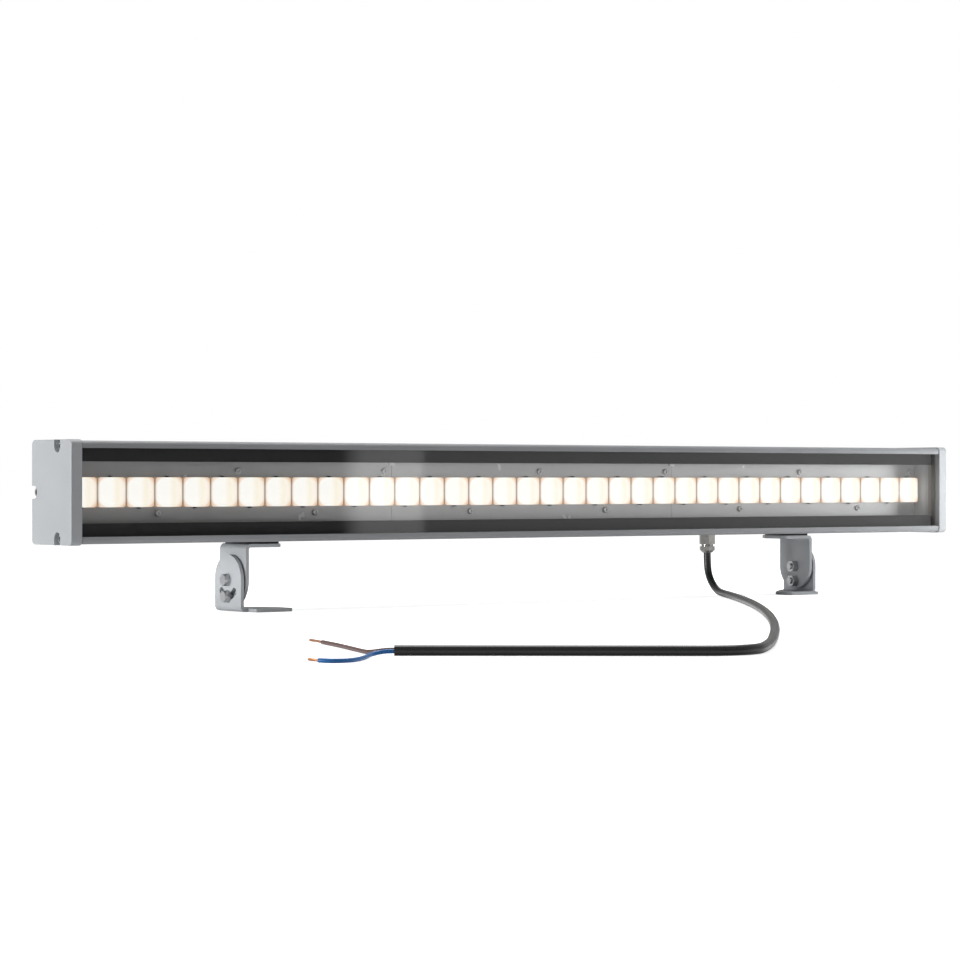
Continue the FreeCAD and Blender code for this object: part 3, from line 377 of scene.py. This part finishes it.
# ---------------------------------------------------------------- LED boards
# Three aluminium-core circuit boards end to end. Their solder mask is filled with aluminium powder, so
# that it is part dull grey and part mirror.
MASK_CLOUD_MM = 30
board_low, board_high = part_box("led_board_2")
row_middle = (board_low.z + board_high.z) / 2
board_face = board_low.y
solder_mask, tree = start_material("grey_solder_mask")
place = add_node(tree, "ShaderNodeTexCoord")
cloud = add_node(tree, "ShaderNodeTexNoise", {
    "Vector": place.outputs["Object"], "Scale": per_metre(MASK_CLOUD_MM), "Detail": 3.0})
tone = add_node(tree, "ShaderNodeValToRGB", {"Fac": cloud.outputs["Fac"]})
tone.color_ramp.elements[0].color = linear("#B4B5B6")
tone.color_ramp.elements[1].color = linear("#C2C3C4")
dull = add_node(tree, "ShaderNodeMapRange", {"Value": cloud.outputs["Fac"], "To Min": 0.22, "To Max": 0.3})
close_material(tree, add_node(tree, "ShaderNodeBsdfPrincipled", {
    "Base Color": tone.outputs["Color"], "Metallic": 0.4, "Roughness": dull.outputs["Result"]}))
finish(solder_mask, "led_board_1", "led_board_2", "led_board_3")


# ---------------------------------------------------------------- lenses
# One moulded acrylic lens over each LED: a square holder with a round lens on its front. Lit, the whole
# lens glows warm white, paler over the round part and deeper in its corners.
BOARDS = 3
LEDS_PER_BOARD = 12
LENS_GAP = 0.0016
LENS_DOME_R = 0.0115
LENS_DOME_HEIGHT = 0.0015
LENS_CORNER = 0.0012
LENS_CHAMFER = 0.0003
RING_POINTS = 48
DOME_STEPS = 9
SHARP_EDGE = math.radians(32)
row_low, row_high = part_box("lens_row_1")
rows_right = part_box("lens_row_3")[1].x
pitch = (rows_right - row_low.x + LENS_GAP) / (BOARDS * LEDS_PER_BOARD)
lens_half_w = (pitch - LENS_GAP) / 2
lens_half_h = (row_high.z - row_low.z) / 2
first_centre = row_low.x + lens_half_w
lens_front = row_low.y + LENS_DOME_HEIGHT


def ring_angles():
    """Angles of a ring's points. None lies on an axis."""
    return [2 * math.pi * (step + 0.5) / RING_POINTS for step in range(RING_POINTS)]


def rounded_outline(half_w, half_h, corner):
    """Points round a rounded rectangle."""
    points = []
    for angle in ring_angles():
        ax, az = math.cos(angle), math.sin(angle)
        reach = min(half_w / abs(ax), half_h / abs(az))
        x, z = ax * reach, az * reach
        over_x = abs(x) - (half_w - corner)
        over_z = abs(z) - (half_h - corner)
        if over_x > 0 and over_z > 0:
            shrink = corner / math.hypot(over_x, over_z)
            if shrink < 1:
                x = math.copysign(half_w - corner + over_x * shrink, x)
                z = math.copysign(half_h - corner + over_z * shrink, z)
        points.append((x, z))
    return points


def circle_outline(radius):
    return [(radius * math.cos(angle), radius * math.sin(angle)) for angle in ring_angles()]


def lens_rings():
    """Outlines of one lens from its back to the top of its dome, each with its depth."""
    inner_w = lens_half_w - LENS_CHAMFER
    inner_h = lens_half_h - LENS_CHAMFER
    rings = [
        (rounded_outline(lens_half_w, lens_half_h, LENS_CORNER), board_face),
        (rounded_outline(lens_half_w, lens_half_h, LENS_CORNER), lens_front + LENS_CHAMFER),
        (rounded_outline(inner_w, inner_h, LENS_CORNER - LENS_CHAMFER), lens_front),
        (circle_outline(LENS_DOME_R), lens_front),
    ]
    for step in range(1, DOME_STEPS):
        share = step / DOME_STEPS
        radius = LENS_DOME_R * math.cos(share * math.pi / 2)
        rings.append((circle_outline(radius), lens_front - LENS_DOME_HEIGHT * math.sin(share * math.pi / 2)))
    return rings


def lens_row_mesh(name, row):
    mesh = bpy.data.meshes.new(name)
    work = bmesh.new()
    rings = lens_rings()
    for index in range(LEDS_PER_BOARD):
        centre = first_centre + (row * LEDS_PER_BOARD + index) * pitch
        made = []
        for outline, depth in rings:
            made.append([work.verts.new((centre + x, depth, row_middle + z)) for x, z in outline])
        for lower, upper in zip(made, made[1:]):
            for i in range(RING_POINTS):
                j = (i + 1) % RING_POINTS
                work.faces.new((lower[i], lower[j], upper[j], upper[i]))
        top = work.verts.new((centre, lens_front - LENS_DOME_HEIGHT, row_middle))
        for i in range(RING_POINTS):
            work.faces.new((made[-1][i], made[-1][(i + 1) % RING_POINTS], top))
        work.faces.new(list(reversed(made[0])))
    bmesh.ops.recalc_face_normals(work, faces=work.faces)
    work.to_mesh(mesh)
    work.free()
    mesh.shade_smooth()
    mesh.set_sharp_from_angle(angle=SHARP_EDGE)
    return mesh


# Clear acrylic, moulded and lit from behind: it glows, and its polished face still mirrors a little.
# Each lens is paler in its middle, with upright stripes of warmer white, and its sides are dimmer.
CORNERS_FROM, CORNERS_TO = 0.5, 0.6         # where the deeper corners start and end, in lens widths
STRIPES = ((0.09, "#FFFDF8"), (0.48, "#FFFDF6"), (0.66, "#FBF3E0"), (0.8, "#FDF7EA"), (0.92, "#FBEEDE"))
FRONT_GLOW, SIDE_GLOW = 1.08, 0.42
FRONT_DEPTH, SIDE_DEPTH = 0.0001, 0.0008    # behind the lens's flat front

acrylic, tree = start_material("lit_moulded_acrylic")
place = add_node(tree, "ShaderNodeTexCoord")
axes = add_node(tree, "ShaderNodeSeparateXYZ", {0: place.outputs["Object"]})
along = add_node(tree, "ShaderNodeMath", {
    0: axes.outputs["X"], 1: first_centre - pitch / 2}, operation="SUBTRACT")
cells = add_node(tree, "ShaderNodeMath", {0: along.outputs[0], 1: pitch}, operation="DIVIDE")
part = add_node(tree, "ShaderNodeMath", {0: cells.outputs[0]}, operation="FRACT")
across = add_node(tree, "ShaderNodeMath", {0: part.outputs[0], 1: 0.5}, operation="SUBTRACT")
upwards = add_node(tree, "ShaderNodeMath", {
    0: axes.outputs["Z"], 1: row_middle}, operation="SUBTRACT")
rise = add_node(tree, "ShaderNodeMath", {0: upwards.outputs[0], 1: 2 * lens_half_h}, operation="DIVIDE")
spot = add_node(tree, "ShaderNodeCombineXYZ", {0: across.outputs[0], 1: rise.outputs[0]})
radius = add_node(tree, "ShaderNodeVectorMath", {0: spot.outputs[0]}, operation="LENGTH")
corners = add_node(tree, "ShaderNodeValToRGB", {"Fac": radius.outputs["Value"]})
corners.color_ramp.elements[0].position = CORNERS_FROM
corners.color_ramp.elements[0].color = linear("#FFFFFF")
corners.color_ramp.elements[1].position = CORNERS_TO
corners.color_ramp.elements[1].color = linear("#EFD6C2")
slide = add_node(tree, "ShaderNodeMath", {0: across.outputs[0], 1: 0.5}, operation="ADD")
stripes = add_node(tree, "ShaderNodeValToRGB", {"Fac": slide.outputs[0]})
stripes.color_ramp.elements[0].position = 0.03
stripes.color_ramp.elements[0].color = linear("#F0E2D4")
stripes.color_ramp.elements[1].position = 0.97
stripes.color_ramp.elements[1].color = linear("#EADCCB")
for stop, colour in STRIPES:
    stripes.color_ramp.elements.new(stop).color = linear(colour)
glow = add_node(tree, "ShaderNodeMix", {
    "Factor": 1.0, 6: stripes.outputs["Color"], 7: corners.outputs["Color"]},
    data_type="RGBA", blend_type="MULTIPLY")
depth = add_node(tree, "ShaderNodeMapRange", {
    "Value": axes.outputs["Y"], "From Min": lens_front + FRONT_DEPTH, "From Max": lens_front + SIDE_DEPTH,
    "To Min": FRONT_GLOW, "To Max": SIDE_GLOW})
close_material(tree, add_node(tree, "ShaderNodeBsdfPrincipled", {
    "Base Color": linear("#3A3834"), "Roughness": 0.14, "IOR": 1.49,
    "Emission Color": glow.outputs[2], "Emission Strength": depth.outputs["Result"]}))

# Black nylon, moulded: the small clip beside each lens, by turns above it and below it.
CLIP_WIDTH = 0.0016
CLIP_HEIGHT = 0.0013
CLIP_DEPTH = 0.0042
CLIP_EDGE = 0.0002
FROST_MM = 0.8

black_nylon, tree = start_material("moulded_black_nylon")
place = add_node(tree, "ShaderNodeTexCoord")
frost = add_node(tree, "ShaderNodeTexNoise", {
    "Vector": place.outputs["Object"], "Scale": per_metre(FROST_MM)})
dull = add_node(tree, "ShaderNodeMapRange", {"Value": frost.outputs["Fac"], "To Min": 0.45, "To Max": 0.6})
close_material(tree, add_node(tree, "ShaderNodeBsdfPrincipled", {
    "Base Color": linear("#161515"), "Roughness": dull.outputs["Result"], "IOR": 1.53}))


def add_clips(mesh, row):
    """Bevelled clips on the board, against the edges of a row's lenses."""
    work = bmesh.new()
    work.from_mesh(mesh)
    for index in range(LEDS_PER_BOARD):
        number = row * LEDS_PER_BOARD + index
        side = 1 if number % 2 else -1
        middle = row_middle + side * (lens_half_h + CLIP_HEIGHT / 2)
        made = bmesh.ops.create_cube(work, size=1.0)["verts"]
        for vertex in made:
            vertex.co.x = first_centre + number * pitch + vertex.co.x * CLIP_WIDTH
            vertex.co.y = board_face - CLIP_DEPTH / 2 + vertex.co.y * CLIP_DEPTH
            vertex.co.z = middle + vertex.co.z * CLIP_HEIGHT
        edges = [edge for edge in work.edges if edge.verts[0] in made and edge.verts[1] in made]
        bevel = bmesh.ops.bevel(work, geom=edges, offset=CLIP_EDGE, segments=2, affect="EDGES")
        for face in {face for vertex in bevel["verts"] for face in vertex.link_faces}:
            face.material_index = 1
    work.to_mesh(mesh)
    work.free()


for row in range(BOARDS):
    name = "lenses_%d" % (row + 1)
    piece = link_piece(name, lens_row_mesh(name, row), acrylic, "housing")
    piece.data.materials.append(black_nylon)
    add_clips(piece.data, row)
    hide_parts("lens_row_%d" % (row + 1))


# ---------------------------------------------------------------- LEDs
# Surface-mounted LEDs, each a small square whose face is yellow phosphor, cast in silicone and lit.
# They are soldered to the boards, and the lenses cover them.
SPECKLE_MM = 1

phosphor, tree = start_material("lit_phosphor")
place = add_node(tree, "ShaderNodeTexCoord")
speckle = add_node(tree, "ShaderNodeTexNoise", {
    "Vector": place.outputs["Object"], "Scale": per_metre(SPECKLE_MM)})
tone = add_node(tree, "ShaderNodeValToRGB", {"Fac": speckle.outputs["Fac"]})
tone.color_ramp.elements[0].color = linear("#F2D98A")
tone.color_ramp.elements[1].color = linear("#FFF0B8")
close_material(tree, add_node(tree, "ShaderNodeBsdfPrincipled", {
    "Base Color": tone.outputs["Color"], "Roughness": 0.6,
    "Emission Color": tone.outputs["Color"], "Emission Strength": 1.0}))
finish(phosphor, "led_chips_1", "led_chips_2", "led_chips_3")


# ---------------------------------------------------------------- screws, bolts and washers
# Stainless steel, cold-headed and rolled: a bright grey metal with fine marks from the dies.
DIE_MARK_MM = 1.2

stainless, tree = start_material("cold_headed_stainless_steel")
place = add_node(tree, "ShaderNodeTexCoord")
marks = add_node(tree, "ShaderNodeTexNoise", {
    "Vector": place.outputs["Object"], "Scale": per_metre(DIE_MARK_MM), "Detail": 4.0})
tone = add_node(tree, "ShaderNodeValToRGB", {"Fac": marks.outputs["Fac"]})
tone.color_ramp.elements[0].color = linear("#A5A6A8")
tone.color_ramp.elements[1].color = linear("#C9CACB")
dull = add_node(tree, "ShaderNodeMapRange", {"Value": marks.outputs["Fac"], "To Min": 0.24, "To Max": 0.4})
close_material(tree, add_node(tree, "ShaderNodeBsdfPrincipled", {
    "Base Color": tone.outputs["Color"], "Metallic": 1.0, "Roughness": dull.outputs["Result"]}))
finish(stainless, "cap_screws", "board_screws", "driver_screws", "terminal_screw", "bracket_screws",
       "slot_nuts", "pivot_bolts", "lock_bolts", "tilt_washers", "tilt_spacers", "tilt_nuts")


# ---------------------------------------------------------------- cable gland
# Turned brass, nickel-plated: a hexagonal body screwed up into the housing and a nut that grips the cable.
HAZE_MM = 3

nickel, tree = start_material("nickel_plated_brass")
place = add_node(tree, "ShaderNodeTexCoord")
haze = add_node(tree, "ShaderNodeTexNoise", {
    "Vector": place.outputs["Object"], "Scale": per_metre(HAZE_MM), "Detail": 3.0})
tone = add_node(tree, "ShaderNodeValToRGB", {"Fac": haze.outputs["Fac"]})
tone.color_ramp.elements[0].color = linear("#797876")
tone.color_ramp.elements[1].color = linear("#A3A29F")
dull = add_node(tree, "ShaderNodeMapRange", {"Value": haze.outputs["Fac"], "To Min": 0.1, "To Max": 0.18})
close_material(tree, add_node(tree, "ShaderNodeBsdfPrincipled", {
    "Base Color": tone.outputs["Color"], "Metallic": 1.0, "Roughness": dull.outputs["Result"]}))
finish(nickel, "gland_body", "gland_nut", "gland_locknut")


# ---------------------------------------------------------------- driver and inside wiring
# The driver's case is plain folded aluminium; its board is green glass-epoxy with plastic-cased
# components. None of it shows unless the rear chamber is opened.
ROUGHNESS_SPREAD = 0.06


def plain_finish(name, low, high, roughness, metallic, grain_mm):
    """Two near tones in a fine grain."""
    material, tree = start_material(name)
    place = add_node(tree, "ShaderNodeTexCoord")
    grain = add_node(tree, "ShaderNodeTexNoise", {
        "Vector": place.outputs["Object"], "Scale": per_metre(grain_mm), "Detail": 3.0})
    tone = add_node(tree, "ShaderNodeValToRGB", {"Fac": grain.outputs["Fac"]})
    tone.color_ramp.elements[0].color = linear(low)
    tone.color_ramp.elements[1].color = linear(high)
    dull = add_node(tree, "ShaderNodeMapRange", {
        "Value": grain.outputs["Fac"],
        "To Min": roughness - ROUGHNESS_SPREAD, "To Max": roughness + ROUGHNESS_SPREAD})
    close_material(tree, add_node(tree, "ShaderNodeBsdfPrincipled", {
        "Base Color": tone.outputs["Color"], "Metallic": metallic, "Roughness": dull.outputs["Result"]}))
    return material


finish(plain_finish("rolled_aluminium", "#A9ABAD", "#C3C5C6", 0.4, 1.0, 2.0), "driver_tray", "driver_lid")
finish(plain_finish("glass_epoxy_laminate", "#12502E", "#1A6A3C", 0.4, 0.0, 3.0), "driver_board")
finish(plain_finish("moulded_nylon", "#BDBDB8", "#D2D2CC", 0.5, 0.0, 4.0),
       "driver_components", "terminal_block")
finish(plain_finish("tinned_solder", "#B4B6B8", "#CBCDCE", 0.3, 1.0, 1.5), "board_links")
finish(plain_finish("extruded_pvc_grey", "#6E6F70", "#8A8B8C", 0.4, 0.0, 5.0),
       "supply_cores", "driver_feed_wires", "led_wires")


# ---------------------------------------------------------------- floor, background and lamps
# A white floor that keeps the light's soft shadow, in a white room. One lamp stands off the left end,
# one off the right front, one hangs overhead, and a spot lies low. A card is there for the mirrors.
FLOOR_SIZE = 30.0
FLOOR_DROP = 0.0002         # below the feet and the cable, so that no faces coincide
FLOOR_WHITE = "#E8E8E8"
FLOOR_LIFT = 0.8            # what the eye sees of the floor on top of its lit colour
FAR_LIFT = 1.0              # the same, out where the lamps no longer light it
LIFT_FROM, LIFT_TO = 1.4, 3.4       # metres from the middle, over which the one passes into the other
ROOM_LIGHT = 0.16
MIRROR_SHARE = 0.3          # how much of the white room a mirror shows

floor_mesh = bpy.data.meshes.new("floor")
half = FLOOR_SIZE / 2
floor_mesh.from_pydata(
    [(-half, -half, 0), (half, -half, 0), (half, half, 0), (-half, half, 0)], [], [(0, 1, 2, 3)])
floor = bpy.data.objects.new("floor", floor_mesh)
floor.location.z = -FLOOR_DROP
bpy.context.scene.collection.objects.link(floor)


def seen_by_eye(tree):
    """1 for what the camera sees straight or through glass, and a share of that in a mirror."""
    path = add_node(tree, "ShaderNodeLightPath")
    mirrored = add_node(tree, "ShaderNodeMath", {
        0: path.outputs["Is Glossy Ray"], 1: MIRROR_SHARE}, operation="MULTIPLY")
    either = add_node(tree, "ShaderNodeMath", {
        0: path.outputs["Is Camera Ray"], 1: mirrored.outputs[0]}, operation="MAXIMUM")
    return add_node(tree, "ShaderNodeMath", {
        0: either.outputs[0], 1: path.outputs["Is Transmission Ray"]}, operation="MAXIMUM").outputs[0]


painted_floor, tree = start_material("painted_floor")
lit = add_node(tree, "ShaderNodeBsdfDiffuse", {"Color": linear(FLOOR_WHITE)})
place = add_node(tree, "ShaderNodeTexCoord")
distance = add_node(tree, "ShaderNodeVectorMath", {0: place.outputs["Object"]}, operation="LENGTH")
strength = add_node(tree, "ShaderNodeMapRange", {
    "Value": distance.outputs["Value"], "From Min": LIFT_FROM, "From Max": LIFT_TO,
    "To Min": FLOOR_LIFT, "To Max": FAR_LIFT})
lift = add_node(tree, "ShaderNodeEmission", {"Strength": strength.outputs["Result"]})
shown = add_node(tree, "ShaderNodeAddShader", {0: lit.outputs[0], 1: lift.outputs[0]})
close_material(tree, add_node(tree, "ShaderNodeMixShader", {
    0: seen_by_eye(tree), 1: lit.outputs[0], 2: shown.outputs[0]}))
floor_mesh.materials.append(painted_floor)

world = bpy.data.worlds.new("white_room")
world.use_nodes = True
tree = world.node_tree
tree.nodes.clear()
dim = add_node(tree, "ShaderNodeBackground", {"Color": linear("#FFFFFF"), "Strength": ROOM_LIGHT})
bright = add_node(tree, "ShaderNodeBackground", {"Color": linear("#FFFFFF"), "Strength": 1.0})
room = add_node(tree, "ShaderNodeMixShader", {
    0: seen_by_eye(tree), 1: dim.outputs[0], 2: bright.outputs[0]})
add_node(tree, "ShaderNodeOutputWorld", {"Surface": room.outputs[0]})
bpy.context.scene.world = world

# A low card off the right front, which only mirrors see: dark on its left, then one bright stripe, then
# grey rising to white. The glass mirrors it over the black bands.
CARD_Y = -1.6
CARD_LEFT, CARD_RIGHT = -0.6, 2.8
CARD_HEIGHT = 0.25
CARD_LIGHT = 2.3
LEFT_GREY, RIGHT_GREY = 0.06, 1.0
CARD_GREYS = (              # places along X, in metres, and how bright the card is there
    (0.795, 0.04), (0.83, 0.95), (0.944, 1.0), (0.95, 0.36), (1.385, 0.46), (1.742, 0.66), (2.07, 0.8),
)
card_mesh = bpy.data.meshes.new("reflector_card")
card_mesh.from_pydata(
    [(CARD_LEFT, CARD_Y, 0), (CARD_RIGHT, CARD_Y, 0),
     (CARD_RIGHT, CARD_Y, CARD_HEIGHT), (CARD_LEFT, CARD_Y, CARD_HEIGHT)], [], [(0, 1, 2, 3)])
card = bpy.data.objects.new("reflector_card", card_mesh)
bpy.context.scene.collection.objects.link(card)
card.visible_camera = False
card.visible_diffuse = False
card.visible_shadow = False
card.visible_transmission = False
card_paint, tree = start_material("reflector_card")
place = add_node(tree, "ShaderNodeTexCoord")
axes = add_node(tree, "ShaderNodeSeparateXYZ", {0: place.outputs["Object"]})
span = add_node(tree, "ShaderNodeMapRange", {
    "Value": axes.outputs["X"], "From Min": CARD_LEFT, "From Max": CARD_RIGHT})
stripe = add_node(tree, "ShaderNodeValToRGB", {"Fac": span.outputs["Result"]})
stripe.color_ramp.elements[0].color = (LEFT_GREY, LEFT_GREY, LEFT_GREY, 1.0)
stripe.color_ramp.elements[1].color = (RIGHT_GREY, RIGHT_GREY, RIGHT_GREY, 1.0)
for at, grey in CARD_GREYS:
    stop = stripe.color_ramp.elements.new((at - CARD_LEFT) / (CARD_RIGHT - CARD_LEFT))
    stop.color = (grey, grey, grey, 1.0)
close_material(tree, add_node(tree, "ShaderNodeEmission", {
    "Color": stripe.outputs["Color"], "Strength": CARD_LIGHT}))
card_mesh.materials.append(card_paint)


def turned(place, aim):
    """The rotation of a lamp at one place that shines at another."""
    return (Vector(aim) - Vector(place)).to_track_quat("-Z", "Y").to_euler()


def lamp(name, place, aim, width, height, power, mirrored=True):
    light = bpy.data.lights.new(name, "AREA")
    light.shape = "RECTANGLE"
    light.size = width
    light.size_y = height
    light.energy = power
    holder = bpy.data.objects.new(name, light)
    holder.location = place
    holder.rotation_euler = turned(place, aim)
    holder.visible_camera = False
    holder.visible_glossy = mirrored
    bpy.context.scene.collection.objects.link(holder)


lamp("left_lamp", place=(-1.5, 0.16, 0.12), aim=(-0.5, 0.0, 0.06), width=0.22, height=0.2, power=8.5)
lamp("right_front_lamp", place=(0.8, -0.3, 0.13), aim=(0.3, 0.0, 0.1), width=0.2, height=0.2, power=2.7,
     mirrored=False)
lamp("overhead_lamp", place=(0.0, 0.1, 1.6), aim=(0.0, 0.0, 0.1), width=2.0, height=1.0, power=28.0)

# A narrow spot close to the floor, which reaches under the housing to the left bracket.
SPOT_PLACE = (-1.15, -0.33, 0.028)
SPOT_AIM = (-0.325, 0.0, 0.028)
spot_light = bpy.data.lights.new("low_spot", "SPOT")
spot_light.energy = 17.0
spot_light.spot_size = math.radians(5.4)
spot_light.spot_blend = 0.4
spot_light.shadow_soft_size = 0.02
low_spot = bpy.data.objects.new("low_spot", spot_light)
low_spot.location = SPOT_PLACE
low_spot.rotation_euler = turned(SPOT_PLACE, SPOT_AIM)
bpy.context.scene.collection.objects.link(low_spot)

bpy.context.scene.view_settings.view_transform = "Standard"
